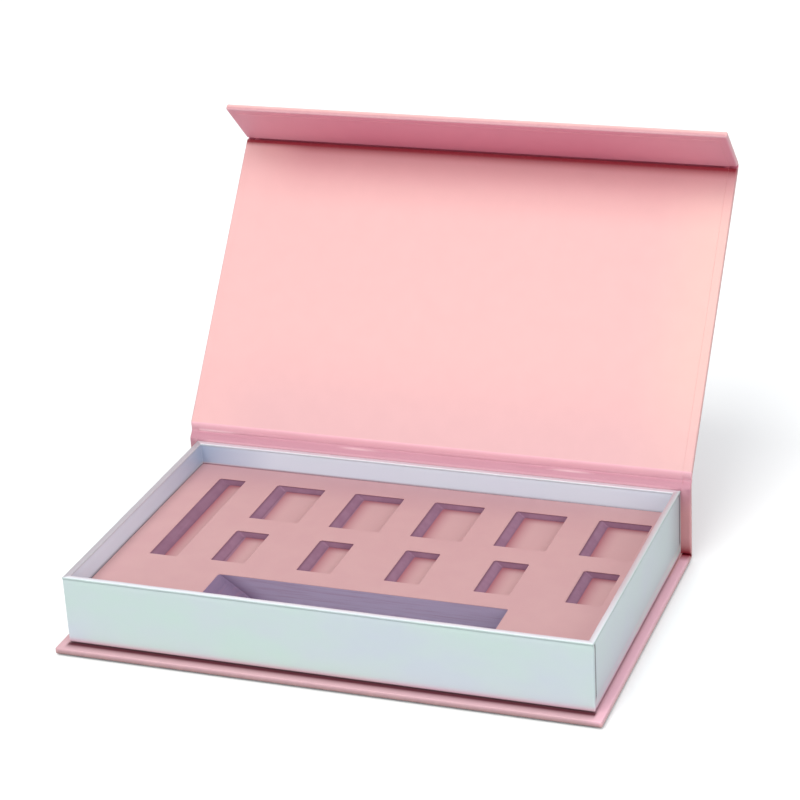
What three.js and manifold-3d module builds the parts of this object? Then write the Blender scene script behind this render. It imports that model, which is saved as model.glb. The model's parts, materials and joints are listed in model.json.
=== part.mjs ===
// Press-on nail box: a book-style rigid box, opened for display.
// A paper-wrapped board case (base, spine, lid and front flap) folds round a paper-wrapped tray,
// and a die-cut foam insert with nail pockets lies in the tray. Magnets in the flap hold it shut.
// Millimetres. X runs along the box, Y from its front to its spine, Z up.
// The origin is the middle of the base's underside.
import * as THREE from "three";
import { mergeVertices } from "three/addons/utils/BufferGeometryUtils.js";
import Module from "manifold-3d";

const wasm = await Module();
wasm.setup();

// Sheet stock
const caseBoard = 2.0;
const trayBoard = 1.6;
const paper = 0.16;
const stayTape = 0.12;
const glue = 0.08;

// Case
const caseLength = 207.4;
const frontLedge = 4.8;
const creaseHalf = 3.0;
const turnIn = 14;
const linerInset = 3.4;
const linerFoot = 22;
const flapLength = 28.6;
const flapClearance = 0.5;
const closingGap = 0.4;
const spineBed = 0.2;
const lidLean = 39.2;
const flapFold = 85.4;
const creaseSteps = 10;

// Closure
const magnetRadius = 5;
const magnetThickness = 1.5;
const keeperRadius = 6;
const keeperThickness = 1.2;
const pocketPlay = 0.3;
const closureSpacing = 120;
const closureDrop = 13;

// Tray
const trayLength = 200;
const trayDepth = 122;
const trayHeight = 26.8;
const trayCorner = 0.5;
const trayHem = 14;
const stayLeg = 15;
const stayMargin = 0.6;
const boardGap = 0.1;

// Insert
const insertPlay = 0.35;
const lowerFoam = 12.7;
const upperFoam = 2.4;
const facing = 0.3;
const cutCorner = 0.8;

// Cut-outs, measured from the middle of the tray to each one's left and back edges.
// The left wall of each one slopes in towards its floor by the ramp, so that what it holds can be tipped out.
const largePocket = { width: 20.8, depth: 30, left: -60.2, back: 46.8, ramp: 3.4, pitch: 33, count: 5 };
const smallPocket = { width: 14, depth: 25.1, left: -60.4, back: 5.8, ramp: 3.4, pitch: 34.4, count: 5 };
const fileSlot = { width: 11.8, depth: 67.2, left: -85.4, back: 47.2, ramp: 4.4, pitch: 0, count: 1 };
const toolSlot = { width: 112.6, depth: 24.1, left: -53, back: -29, ramp: 22, pitch: 0, count: 1 };

// Sizes that follow from the ones above
const skin = paper + glue;
const wrappedThickness = caseBoard + 2 * skin;
const panelThickness = wrappedThickness + skin;
const baseDepth = frontLedge + trayDepth + spineBed + panelThickness;
const spineFace = baseDepth / 2;
const trayBottom = panelThickness + glue;
const trayMiddle = spineFace - panelThickness - spineBed - trayDepth / 2;
const hingeHeight = trayBottom + trayHeight + closingGap + panelThickness;
const lidLength = trayDepth + spineBed + flapClearance + 2 * panelThickness;
const wallSkin = skin + stayTape + glue;
const trayWall = wallSkin + trayBoard + skin;
const trayInnerLength = trayLength - 2 * trayWall;
const trayInnerDepth = trayDepth - 2 * trayWall;

const pink = { color: 0xf3c3c4, roughness: 0.62, metalness: 0 };
const pearl = { color: 0xd3e3e3, roughness: 0.38, metalness: 0.1 };
const greyboard = { color: 0xa39d93, roughness: 0.95, metalness: 0 };
const kraft = { color: 0xc8a878, roughness: 0.9, metalness: 0 };
const steel = { color: 0xb9bdc2, roughness: 0.35, metalness: 1 };
const mauveFoam = { color: 0x9c7a98, roughness: 0.9, metalness: 0 };
const rosePaper = { color: 0xd8adae, roughness: 0.85, metalness: 0 };

function piece(parent, name, geometry, finish) {
  const mesh = new THREE.Mesh(geometry, new THREE.MeshStandardMaterial(finish));
  mesh.name = name;
  parent.add(mesh);
  return mesh;
}

function frameAt(parent, y, z, turnX = 0, turnZ = 0) {
  const group = new THREE.Group();
  group.position.set(0, y, z);
  group.rotation.set(THREE.MathUtils.degToRad(turnX), 0, THREE.MathUtils.degToRad(turnZ));
  parent.add(group);
  return group;
}

// Booleans on closed geometries
function toSolid(geometry) {
  const bare = geometry.clone();
  bare.deleteAttribute("normal");
  bare.deleteAttribute("uv");
  const merged = mergeVertices(bare);
  const vertProperties = new Float32Array(merged.attributes.position.array);
  const triVerts = new Uint32Array(merged.index.array);
  return new wasm.Manifold(new wasm.Mesh({ numProp: 3, vertProperties, triVerts }));
}

function toGeometry(solid) {
  const mesh = solid.getMesh();
  const geometry = new THREE.BufferGeometry();
  geometry.setAttribute("position", new THREE.BufferAttribute(mesh.vertProperties, 3));
  geometry.setIndex(new THREE.BufferAttribute(mesh.triVerts, 1));
  geometry.computeVertexNormals();
  return geometry;
}

function joined(...geometries) {
  return toGeometry(geometries.map(toSolid).reduce((whole, next) => whole.add(next)));
}

function cut(geometry, ...tools) {
  return toGeometry(tools.map(toSolid).reduce((rest, tool) => rest.subtract(tool), toSolid(geometry)));
}

// A block between two limits on each axis
function block([x0, x1], [y0, y1], [z0, z1]) {
  const geometry = new THREE.BoxGeometry(x1 - x0, y1 - y0, z1 - z0);
  return geometry.translate((x0 + x1) / 2, (y0 + y1) / 2, (z0 + z1) / 2);
}

function across(width) {
  return [-width / 2, width / 2];
}

function disc(radius, thickness) {
  return new THREE.CylinderGeometry(radius, radius, thickness, 32);
}

// A rectangle with rounded corners, by its left and front edges
function roundedRectangle(left, front, width, depth, radius, outline = new THREE.Shape()) {
  const right = left + width;
  const back = front + depth;
  outline.moveTo(left + radius, front);
  outline.lineTo(right - radius, front);
  outline.absarc(right - radius, front + radius, radius, -Math.PI / 2, 0);
  outline.lineTo(right, back - radius);
  outline.absarc(right - radius, back - radius, radius, 0, Math.PI / 2);
  outline.lineTo(left + radius, back);
  outline.absarc(left + radius, back - radius, radius, Math.PI / 2, Math.PI);
  outline.lineTo(left, front + radius);
  outline.absarc(left + radius, front + radius, radius, Math.PI, 1.5 * Math.PI);
  return outline;
}

function centredRectangle(width, depth, radius, outline) {
  return roundedRectangle(-width / 2, -depth / 2, width, depth, radius, outline);
}

function slab(shape, bottom, thickness) {
  const geometry = new THREE.ExtrudeGeometry(shape, {
    depth: thickness,
    bevelEnabled: false,
    curveSegments: 3,
  });
  return geometry.translate(0, 0, bottom);
}

// A flat frame round a rectangular opening
function ring(length, depth, radius, width, bottom, thickness) {
  const shape = centredRectangle(length, depth, radius);
  const innerRadius = Math.max(radius - width, 0.3);
  shape.holes.push(
    centredRectangle(length - 2 * width, depth - 2 * width, innerRadius, new THREE.Path()),
  );
  return slab(shape, bottom, thickness);
}

// A section in the YZ plane, drawn out along X
function drawnAlongX(section, length) {
  const geometry = new THREE.ExtrudeGeometry(section, {
    depth: length,
    bevelEnabled: false,
    curveSegments: 3,
  });
  const yAxis = new THREE.Vector3(0, 1, 0);
  const zAxis = new THREE.Vector3(0, 0, 1);
  const xAxis = new THREE.Vector3(1, 0, 0);
  geometry.applyMatrix4(new THREE.Matrix4().makeBasis(yAxis, zAxis, xAxis));
  return geometry.translate(-length / 2, 0, 0);
}

// A case panel lies on its outer face, with its crease end at y = 0 and its inner face up.
// The wrap covers the outer face, goes round the edges and is turned in over the inner face.
function wrapSheet(start, end, endIsEdge) {
  const past = 1;
  const under = endIsEdge ? end - paper : end + past;
  const windowEnd = endIsEdge ? end - turnIn : end + past;
  const whole = block(across(caseLength), [start, end], [0, wrappedThickness]);
  const hollow = block(
    across(caseLength - 2 * paper),
    [start - past, under],
    [paper, wrappedThickness - paper],
  );
  const window = block(
    across(caseLength - 2 * turnIn),
    [start - past, windowEnd],
    [caseBoard, wrappedThickness + past],
  );
  return cut(whole, hollow, window);
}

function panelBoard(start, end, endIsEdge) {
  const boardEnd = endIsEdge ? end - skin : end;
  return block(across(caseLength - 2 * skin), [start, boardEnd], [skin, skin + caseBoard]);
}

function linerSheet(start, end, endIsEdge) {
  const sheetEnd = endIsEdge ? end - linerInset : end;
  return block(
    across(caseLength - 2 * linerInset),
    [start, sheetEnd],
    [wrappedThickness + glue, panelThickness],
  );
}

// Paper over a crease: it leaves one panel's plane and turns through the fold to the next one.
// height gives the sheet's middle above the outer face, from 0 to 1 along the crease.
function creaseSheet(foldDegrees, width, margin, height) {
  const fold = THREE.MathUtils.degToRad(foldDegrees);
  const half = creaseHalf - margin;
  const radius = half / Math.tan(fold / 2);
  const middle = [];
  for (let step = 0; step <= creaseSteps; step += 1) {
    const along = step / creaseSteps;
    const turned = fold * along;
    const raised = height(along);
    const y = -half + radius * Math.sin(turned) - raised * Math.sin(turned);
    const z = radius * (1 - Math.cos(turned)) + raised * Math.cos(turned);
    middle.push(new THREE.Vector2(y, z));
  }
  const inside = [];
  const outside = [];
  middle.forEach((point, index) => {
    const before = middle[Math.max(index - 1, 0)];
    const after = middle[Math.min(index + 1, creaseSteps)];
    const side = after.clone().sub(before).normalize().multiplyScalar(paper / 2);
    inside.push(new THREE.Vector2(point.x - side.y, point.y + side.x));
    outside.push(new THREE.Vector2(point.x + side.y, point.y - side.x));
  });
  return drawnAlongX(new THREE.Shape([...outside, ...inside.reverse()]), width);
}

function creaseWrap(foldDegrees) {
  return creaseSheet(foldDegrees, caseLength, glue / 2, () => paper / 2);
}

// The liner is pressed down into the groove between the two boards.
function creaseLiner(foldDegrees) {
  const level = wrappedThickness + glue + paper / 2;
  const grooved = paper + glue + paper / 2;
  const trough = (along) => grooved + ((level - grooved) * (1 + Math.cos(2 * Math.PI * along))) / 2;
  return creaseSheet(foldDegrees, caseLength - 2 * linerInset, paper, trough);
}

function baseAndSpine(box) {
  const base = frameAt(box, spineFace, 0, 0, 180);
  piece(base, "base_board", panelBoard(creaseHalf, baseDepth, true), greyboard);
  piece(base, "base_wrap", wrapSheet(creaseHalf, baseDepth, true), pink);

  const corner = frameAt(box, spineFace, 0);
  piece(corner, "base_crease_wrap", creaseWrap(90), pink);

  const spine = frameAt(box, spineFace, 0, 90);
  const spineTop = hingeHeight - creaseHalf;
  piece(spine, "spine_board", panelBoard(creaseHalf, spineTop, false), greyboard);
  piece(spine, "spine_wrap", wrapSheet(creaseHalf, spineTop, false), pink);

  // The spine's liner runs on under the tray, where the tray is glued over its foot.
  const low = wrappedThickness + glue;
  const sheet = new THREE.Shape();
  sheet.moveTo(-linerFoot, low);
  sheet.lineTo(-low, low);
  sheet.lineTo(-low, spineTop);
  sheet.lineTo(-panelThickness, spineTop);
  sheet.lineTo(-panelThickness, panelThickness);
  sheet.lineTo(-linerFoot, panelThickness);
  piece(corner, "spine_liner", drawnAlongX(sheet, caseLength - 2 * linerInset), pink);
}

function lidAndFlap(box) {
  const upright = 90;
  const hinge = frameAt(box, spineFace, hingeHeight, upright);
  piece(hinge, "lid_crease_wrap", creaseWrap(-lidLean), pink);
  piece(hinge, "lid_crease_liner", creaseLiner(-lidLean), pink);

  const lid = frameAt(box, spineFace, hingeHeight, upright - lidLean);
  const lidEnd = lidLength - creaseHalf;
  piece(lid, "lid_board", panelBoard(creaseHalf, lidEnd, false), greyboard);
  piece(lid, "lid_wrap", wrapSheet(creaseHalf, lidEnd, false), pink);
  piece(lid, "lid_liner", linerSheet(creaseHalf, lidEnd, false), pink);

  const flapCrease = frameAt(lid, lidLength, 0);
  piece(flapCrease, "flap_crease_wrap", creaseWrap(flapFold), pink);
  piece(flapCrease, "flap_crease_liner", creaseLiner(flapFold), pink);

  const flap = frameAt(lid, lidLength, 0, flapFold);
  const pocket = disc(magnetRadius + pocketPlay, 2 * caseBoard).rotateX(Math.PI / 2);
  const pockets = [];
  for (const [side, x] of closurePlaces()) {
    const place = [x, closureDrop, skin + caseBoard / 2];
    pockets.push(pocket.clone().translate(...place));
    const magnet = disc(magnetRadius, magnetThickness).rotateX(Math.PI / 2).translate(...place);
    piece(flap, "flap_magnet_" + side, magnet, steel);
  }
  piece(flap, "flap_board", cut(panelBoard(creaseHalf, flapLength, true), ...pockets), greyboard);
  piece(flap, "flap_wrap", wrapSheet(creaseHalf, flapLength, true), pink);
  piece(flap, "flap_liner", linerSheet(creaseHalf, flapLength, true), pink);
}

function closurePlaces() {
  return [
    ["left", -closureSpacing / 2],
    ["right", closureSpacing / 2],
  ];
}

function trayBoards(tray) {
  const standing = [skin, trayHeight - skin];
  const length = trayLength - 2 * wallSkin;
  const depth = trayDepth - 2 * wallSkin;
  const betweenLength = length - 2 * (trayBoard + boardGap);
  const betweenDepth = depth - 2 * (trayBoard + boardGap);
  const backWall = [depth / 2 - trayBoard, depth / 2];
  const rightWall = [length / 2 - trayBoard, length / 2];
  const mirrored = ([low, high]) => [-high, -low];

  piece(tray, "tray_back_board", block(across(length), backWall, standing), greyboard);
  piece(tray, "tray_right_board", block(rightWall, across(betweenDepth), standing), greyboard);
  piece(tray, "tray_left_board", block(mirrored(rightWall), across(betweenDepth), standing), greyboard);
  const floor = block(across(betweenLength), across(betweenDepth), [skin, skin + trayBoard]);
  piece(tray, "tray_floor_board", floor, greyboard);

  // The front wall holds the steel discs that the flap's magnets meet when the lid is shut.
  const keeperHeight = hingeHeight - closureDrop - trayBottom;
  const pockets = [];
  for (const [side, x] of closurePlaces()) {
    const place = [x, (trayBoard - depth) / 2, keeperHeight];
    pockets.push(disc(keeperRadius + pocketPlay, 2 * trayBoard).translate(...place));
    piece(tray, "tray_keeper_" + side, disc(keeperRadius, keeperThickness).translate(...place), steel);
  }
  const frontWall = block(across(length), mirrored(backWall), standing);
  piece(tray, "tray_front_board", cut(frontWall, ...pockets), greyboard);
}

// Paper tape round each upright corner, over the boards and under the wrap
function trayCornerStays(tray) {
  const face = skin;
  const back = skin + stayTape;
  const section = new THREE.Shape();
  section.moveTo(trayCorner, face);
  section.lineTo(stayLeg, face);
  section.lineTo(stayLeg, back);
  section.lineTo(trayCorner, back);
  section.absarc(trayCorner, trayCorner, trayCorner - back, 1.5 * Math.PI, Math.PI, true);
  section.lineTo(back, stayLeg);
  section.lineTo(face, stayLeg);
  section.lineTo(face, trayCorner);
  section.absarc(trayCorner, trayCorner, trayCorner - face, Math.PI, 1.5 * Math.PI);
  const corners = [
    ["front_left", -1, -1, 0],
    ["front_right", 1, -1, 90],
    ["back_right", 1, 1, 180],
    ["back_left", -1, 1, 270],
  ];
  for (const [corner, sideX, sideY, turn] of corners) {
    const height = trayHeight - 2 * stayMargin;
    const stay = piece(tray, "tray_stay_" + corner, slab(section, stayMargin, height), kraft);
    stay.position.set((sideX * trayLength) / 2, (sideY * trayDepth) / 2, 0);
    stay.rotation.z = THREE.MathUtils.degToRad(turn);
  }
}

// One sheet covers the walls outside, the rim and the walls inside, with a hem glued under the floor.
function trayPapers(tray) {
  const sheetFoot = skin + trayBoard + glue;
  const outside = ring(trayLength, trayDepth, trayCorner, paper, 0, trayHeight);
  const hem = ring(trayLength, trayDepth, trayCorner, trayHem, 0, paper);
  const rim = ring(trayLength, trayDepth, trayCorner, trayWall, trayHeight - paper, paper);
  const insideLength = trayInnerLength + 2 * paper;
  const insideDepth = trayInnerDepth + 2 * paper;
  const inside = ring(insideLength, insideDepth, trayCorner, paper, sheetFoot, trayHeight - sheetFoot);
  piece(tray, "tray_wrap", joined(outside, hem, rim, inside), pearl);

  const liner = centredRectangle(trayInnerLength - 2 * boardGap, trayInnerDepth - 2 * boardGap, trayCorner);
  piece(tray, "tray_floor_liner", slab(liner, sheetFoot, paper), pearl);
}

// One cutter for each cut-out of a set, from its floor to above the insert's top
function cutters({ width, depth, left, back, ramp, pitch, count }, floor, top) {
  const past = 1;
  const drawnOut = (ramp * past) / (top - floor);
  const tools = [];
  for (let index = 0; index < count; index += 1) {
    const edge = left + pitch * index;
    const mouth = roundedRectangle(edge - drawnOut, back - depth, width + drawnOut, depth, cutCorner);
    const tool = slab(mouth, floor, top + past - floor);
    const corners = tool.attributes.position;
    for (let corner = 0; corner < corners.count; corner += 1) {
      const onFloor = corners.getZ(corner) < top;
      const onLeft = corners.getX(corner) < edge + width / 2;
      if (onFloor && onLeft) {
        corners.setX(corner, corners.getX(corner) + drawnOut + ramp);
      }
    }
    tools.push(tool);
  }
  return tools;
}

// Two foam layers, each faced with rose paper: the pockets stop at the lower facing,
// and the tool slot goes on down to the tray's floor.
function insert(tray) {
  const length = trayInnerLength - 2 * insertPlay;
  const depth = trayInnerDepth - 2 * insertPlay;
  const outline = centredRectangle(length, depth, cutCorner);
  const foot = 2 * skin + trayBoard + glue;
  const pocketFloor = foot + lowerFoam + glue + facing;
  const top = pocketFloor + glue + upperFoam + glue + facing;
  const slotTools = cutters(toolSlot, foot - glue, top);
  const pocketTools = [largePocket, smallPocket, fileSlot].flatMap((set) => cutters(set, pocketFloor, top));

  let level = foot;
  const layers = [
    ["insert_lower_foam", lowerFoam, mauveFoam, slotTools],
    ["insert_pocket_floor", facing, rosePaper, slotTools],
    ["insert_upper_foam", upperFoam, mauveFoam, [...slotTools, ...pocketTools]],
    ["insert_face", facing, rosePaper, [...slotTools, ...pocketTools]],
  ];
  for (const [name, thickness, finish, tools] of layers) {
    piece(tray, name, cut(slab(outline, level, thickness), ...tools), finish);
    level += thickness + glue;
  }
}

const box = new THREE.Group();
box.name = "press_on_nail_box";
baseAndSpine(box);
lidAndFlap(box);
const tray = frameAt(box, trayMiddle, trayBottom);
trayBoards(tray);
trayCornerStays(tray);
trayPapers(tray);
insert(tray);

export default box;
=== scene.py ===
import json
import math

import bmesh
import bpy
from mathutils import Matrix, Vector, noise
from mathutils.geometry import tessellate_polygon


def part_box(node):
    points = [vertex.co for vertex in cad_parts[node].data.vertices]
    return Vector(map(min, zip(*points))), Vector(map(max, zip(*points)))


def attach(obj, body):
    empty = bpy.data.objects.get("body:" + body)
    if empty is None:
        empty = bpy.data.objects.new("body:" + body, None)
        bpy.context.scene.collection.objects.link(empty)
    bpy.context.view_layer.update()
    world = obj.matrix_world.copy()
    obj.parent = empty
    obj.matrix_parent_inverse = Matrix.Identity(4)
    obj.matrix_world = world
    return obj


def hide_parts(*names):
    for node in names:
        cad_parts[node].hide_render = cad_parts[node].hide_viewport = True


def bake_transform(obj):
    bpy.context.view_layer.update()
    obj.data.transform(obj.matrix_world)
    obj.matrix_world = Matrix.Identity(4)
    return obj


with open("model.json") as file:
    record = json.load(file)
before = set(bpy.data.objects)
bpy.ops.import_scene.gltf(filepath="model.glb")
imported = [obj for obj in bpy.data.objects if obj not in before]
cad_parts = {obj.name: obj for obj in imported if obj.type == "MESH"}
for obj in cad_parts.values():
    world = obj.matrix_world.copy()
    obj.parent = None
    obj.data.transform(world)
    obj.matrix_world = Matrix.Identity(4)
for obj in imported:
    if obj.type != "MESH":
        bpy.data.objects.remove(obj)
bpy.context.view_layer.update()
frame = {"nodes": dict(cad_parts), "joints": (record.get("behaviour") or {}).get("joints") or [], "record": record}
mm = 0.001
print("frame loaded,", len(frame["nodes"]), "nodes")


# camera, fitted to the straight edges of the box
cameraFit = {
    "lens": 112.97,
    "azimuth": 20.985,
    "elevation": 23.613,
    "roll": -3.289,
    "distance": 0.943203,
    "target": Vector((-0.582, 33.528, 69.484)) * mm,
}


def placeCamera(fit):
    azimuth = math.radians(fit["azimuth"])
    elevation = math.radians(fit["elevation"])
    roll = math.radians(fit["roll"])
    back = Vector((
        math.sin(azimuth) * math.cos(elevation),
        -math.cos(azimuth) * math.cos(elevation),
        math.sin(elevation),
    ))
    right = Vector((0, 0, 1)).cross(back).normalized()
    up = back.cross(right)
    side = right * math.cos(roll) + up * math.sin(roll)
    top = up * math.cos(roll) - right * math.sin(roll)
    lens = bpy.data.cameras.new("camera")
    lens.lens = fit["lens"]
    lens.sensor_width = 36
    lens.clip_start = 0.01
    lens.clip_end = 50
    camera = bpy.data.objects.new("camera", lens)
    turn = Matrix((side, top, back)).transposed().to_4x4()
    camera.matrix_world = Matrix.Translation(fit["target"] + back * fit["distance"]) @ turn
    bpy.context.collection.objects.link(camera)
    bpy.context.scene.camera = camera


placeCamera(cameraFit)
print("camera placed")

# boxes of the solids that the papers and the insert are fitted to
caseLow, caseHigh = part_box("base_wrap")
caseDepth = caseHigh.y - caseLow.y
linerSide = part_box("spine_liner")[1].x
trayLow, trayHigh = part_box("tray_wrap")
floorLow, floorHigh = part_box("tray_floor_liner")
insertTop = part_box("insert_face")[1].z
openings = {o["name"]: [Vector(c) for c in o["box_m"]] for o in frame["record"]["physics"]["openings"]}
cutRoom = 0.3 * mm      # the record keeps its openings this far inside the cut-outs


# an output socket that can be used in Python sums
class Wire:
    def __init__(self, finish, socket):
        self.finish = finish
        self.socket = socket

    def work(self, operation, first, second):
        plain = [v for v in (first, second) if not isinstance(v, Wire) or v.socket.type == "VALUE"]
        kind = "ShaderNodeMath" if len(plain) == 2 else "ShaderNodeVectorMath"
        return self.finish.add(kind, {"operation": operation}, {0: first, 1: second})

    def __add__(self, other):
        return self.work("ADD", self, other)

    def __radd__(self, other):
        return self.work("ADD", other, self)

    def __sub__(self, other):
        return self.work("SUBTRACT", self, other)

    def __rsub__(self, other):
        return self.work("SUBTRACT", other, self)

    def __mul__(self, other):
        return self.work("MULTIPLY", self, other)

    def __rmul__(self, other):
        return self.work("MULTIPLY", other, self)


def setStops(ramp, stops):
    while len(ramp.elements) < len(stops):
        ramp.elements.new(0.5)
    for element, (position, colour) in zip(ramp.elements, stops):
        element.position = position
        element.color = (*colour, 1.0)


# one material, with its nodes
class Finish:
    def __init__(self, name):
        self.material = bpy.data.materials.new(name)
        self.material.use_nodes = True
        self.tree = self.material.node_tree
        self.tree.nodes.clear()

    def add(self, kind, settings=None, sockets=None, output=0):
        node = self.tree.nodes.new(kind)
        for name, value in (settings or {}).items():
            if name == "stops":
                setStops(node.color_ramp, value)
            else:
                setattr(node, name, value)
        for key, value in (sockets or {}).items():
            socket = node.inputs[key]
            if isinstance(value, Wire):
                self.tree.links.new(value.socket, socket)
            elif socket.type == "RGBA":
                socket.default_value = (*value, 1.0)
            elif socket.type == "VECTOR" and not hasattr(value, "__len__"):
                socket.default_value = (value, value, value)
            else:
                socket.default_value = value
        return Wire(self, node.outputs[output] if node.outputs else None)

    def mix(self, factor, first, second):
        values = {0: factor, 6: first, 7: second}
        return self.add("ShaderNodeMix", {"data_type": "RGBA"}, values, output=2)

    def place(self):
        # where a point lies on its sheet, which stays with the paper when it bends
        return self.add("ShaderNodeAttribute", {"attribute_name": "place"}, output=1)

    # per-point tones: the paper's own tone, with painted light and shade
    def dye(self):
        return self.add("ShaderNodeAttribute", {"attribute_name": "dye"})

    def mark(self, name):
        return self.add("ShaderNodeAttribute", {"attribute_name": name}, output=2)

    def body(self):
        return self.add("ShaderNodeTexCoord", output=3)

    def clouds(self, vector, scale, detail=3.0, roughness=0.5):
        values = {"Vector": vector, "Scale": scale, "Detail": detail, "Roughness": roughness}
        return self.add("ShaderNodeTexNoise", {"noise_dimensions": "3D"}, values)

    def ramp(self, value, stops):
        return self.add("ShaderNodeValToRGB", {"stops": stops}, {"Fac": value})

    def levels(self, value, low, high):
        values = {"Value": value, "From Min": low, "From Max": high}
        return self.add("ShaderNodeMapRange", {"interpolation_type": "SMOOTHSTEP"}, values)

    # 1 at nothing, falling away to 0 at the reach
    def near(self, value, reach):
        values = {"Value": value, "From Min": 0.0, "From Max": reach, "To Min": 1.0, "To Max": 0.0}
        fall = self.add("ShaderNodeMapRange", None, values)
        return fall * fall

    # 1 from low to high and a margin beyond, 0 a millimetre further
    def within(self, value, low, high, margin):
        start = self.levels(value, low - margin - mm, low - margin)
        return start * (1.0 - self.levels(value, high + margin, high + margin + mm))

    def part(self, vector, axis):
        return self.add("ShaderNodeSeparateXYZ", None, {"Vector": vector}, output="XYZ".index(axis))

    def maths(self, operation, first, second=0.0):
        return self.add("ShaderNodeMath", {"operation": operation}, {0: first, 1: second})

    def bump(self, height, strength, distance):
        values = {"Strength": strength, "Distance": distance, "Height": height}
        return self.add("ShaderNodeBump", None, values)

    def surface(self, sockets):
        shader = self.add("ShaderNodeBsdfPrincipled", None, sockets)
        self.add("ShaderNodeOutputMaterial", None, {"Surface": shader})
        return self.material


def srgb(red, green, blue):
    parts = [v / 255 for v in (red, green, blue)]
    return tuple(p / 12.92 if p <= 0.04045 else ((p + 0.055) / 1.055) ** 2.4 for p in parts)


# pink wrap and liner paper: dyed stock under a satin film; its other tones are painted shade and light, deeper in
# folds, creases and under the flap, lighter where light falls
pinkPaper = {
    "lid": srgb(234, 181, 178),
    # painted shade: the base is darker and cooler than the lid
    "base": srgb(213, 170, 176),
    "ledge": srgb(244, 190, 204),       # the base's right edge, painted lighter
    # painted shade: the spine is darker than the lid
    "spine": srgb(214, 150, 152),
    # painted shade in the hinge's groove
    "hinge": srgb(190, 132, 147),
    "hingeFoot": srgb(226, 172, 184),   # painted light where the hinge comes up behind the tray's rim
    "shoulder": srgb(243, 188, 198),    # painted light on the lid's side of the hinge
    "shade": srgb(200, 136, 140),       # on the lid, next to the flap
    # painted shade on the flap's lining, deepest at its root, lighter towards its end
    "flap": srgb(241, 162, 184),
    "flapRoot": srgb(230, 141, 163),
    "flapEnd": srgb(250, 174, 190),
    "flapLip": srgb(204, 144, 150),     # painted shade on the flap's free edge, and painted light on the paper turned in behind it
    "flapTurn": srgb(242, 188, 196),
    # painted shade at the lid's foot
    "lidFoot": srgb(213, 169, 172),
    "lidRight": srgb(238, 191, 180),    # painted light towards the lid's right edge
    "glint": srgb(255, 226, 228),       # on the ridges in the hinge
    # painted shade deep in the creases
    "crease": srgb(140, 10, 36),
    "contact": srgb(80, 10, 30),        # painted contact shadow on the base, along the tray's foot
    "soil": srgb(84, 68, 68),           # painted contact shadow along the edge that the box stands on
    "worn": srgb(246, 200, 196),
    "frontDeep": 0.9 * mm,              # how far the painted contact shadow reaches, before and beside the tray
    "frontReach": 3.9 * mm,
    "sideReach": 1.3 * mm,
    "underTray": 2 * mm,
    "roughness": 0.47,
    "grain": 0.012 * mm,
}


def makePinkPaper(name, look):
    f = Finish(name)
    place = f.place()
    mottle = f.clouds(place, 140, 4.0)
    fibre = f.clouds(place * (900.0, 3400.0, 900.0), 1.0, 3.0, 0.6)
    speck = f.clouds(place, 2600, 2.0)
    worn = f.mark("worn") * f.levels(f.clouds(place, 420, 3.0), 0.35, 0.75)
    colour = f.dye() * (0.975 + 0.05 * mottle)
    colour = f.mix(f.levels(fibre, 0.55, 0.8) * 0.10, colour, look["worn"])
    colour = f.mix(worn * 0.1, colour, look["worn"])
    # painted contact shadow: the base darkens towards the tray, most of all along its front
    along = f.part(place, "Y")
    ahead = trayLow.y - caseLow.y - along
    beside = f.maths("ABSOLUTE", f.part(place, "X")) - trayHigh.x
    onBase = 1.0 - f.levels(along, 0.98 * caseDepth, caseDepth)
    contact = f.near(ahead - look["frontDeep"], look["frontReach"]) * f.near(beside, look["sideReach"])
    strength = 0.25 + 0.7 * f.levels(ahead, -look["underTray"], 0.0)
    colour = f.mix(contact * onBase * strength, colour, look["contact"])
    roughness = look["roughness"] + 0.10 * fibre - 0.06 * mottle
    height = 0.6 * fibre + 0.4 * speck
    return f.surface({
        "Base Color": colour,
        "Roughness": roughness,
        "Specular IOR Level": 0.45,
        "Normal": f.bump(height, 0.5, look["grain"]),
    })


# pale pearl paper: mint, blue and lilac drift over each other; inside the tray it turns lavender, a painted shade
pearlPaper = {
    "mint": srgb(205, 227, 219),
    "blue": srgb(208, 223, 223),
    "lilac": srgb(208, 219, 226),
    "lavender": srgb(212, 222, 234),
    # painted highlight on the front rim, painted shade on the side, inner and back rims
    "frontRim": srgb(226, 232, 238),
    "sideRim": srgb(194, 201, 204),
    "rimInside": srgb(190, 172, 178),
    "backRim": srgb(212, 196, 204),
    "rimLine": srgb(150, 168, 164),     # painted shade under the rim
    # painted shade on the outer right face
    "rightFace": srgb(184, 197, 202),
    "leftFront": srgb(222, 239, 250),   # painted light on the inner face of the left wall, turning to painted shade towards the back
    "leftBack": srgb(158, 173, 197),
    # painted shade on the left rim
    "leftRim": srgb(173, 164, 171),
    "gutter": srgb(170, 104, 116),      # painted shade on the wall's inner face, along the insert
    # painted shade in the corner seams
    "seam": srgb(58, 64, 72),
    # painted shadow of the gap under the tray's foot
    "foot": srgb(116, 42, 66),
    "glow": srgb(230, 166, 184),        # painted pink reflection from the base, on the wall's outer face just above its foot
    "glowFrom": 0.4 * mm,
    "rimDrop": 1 * mm,
    "backFade": 34 * mm,                # how far the shade of the left corner runs along the back wall
    "roughness": 0.34,
    "grain": 0.01 * mm,
}


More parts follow.
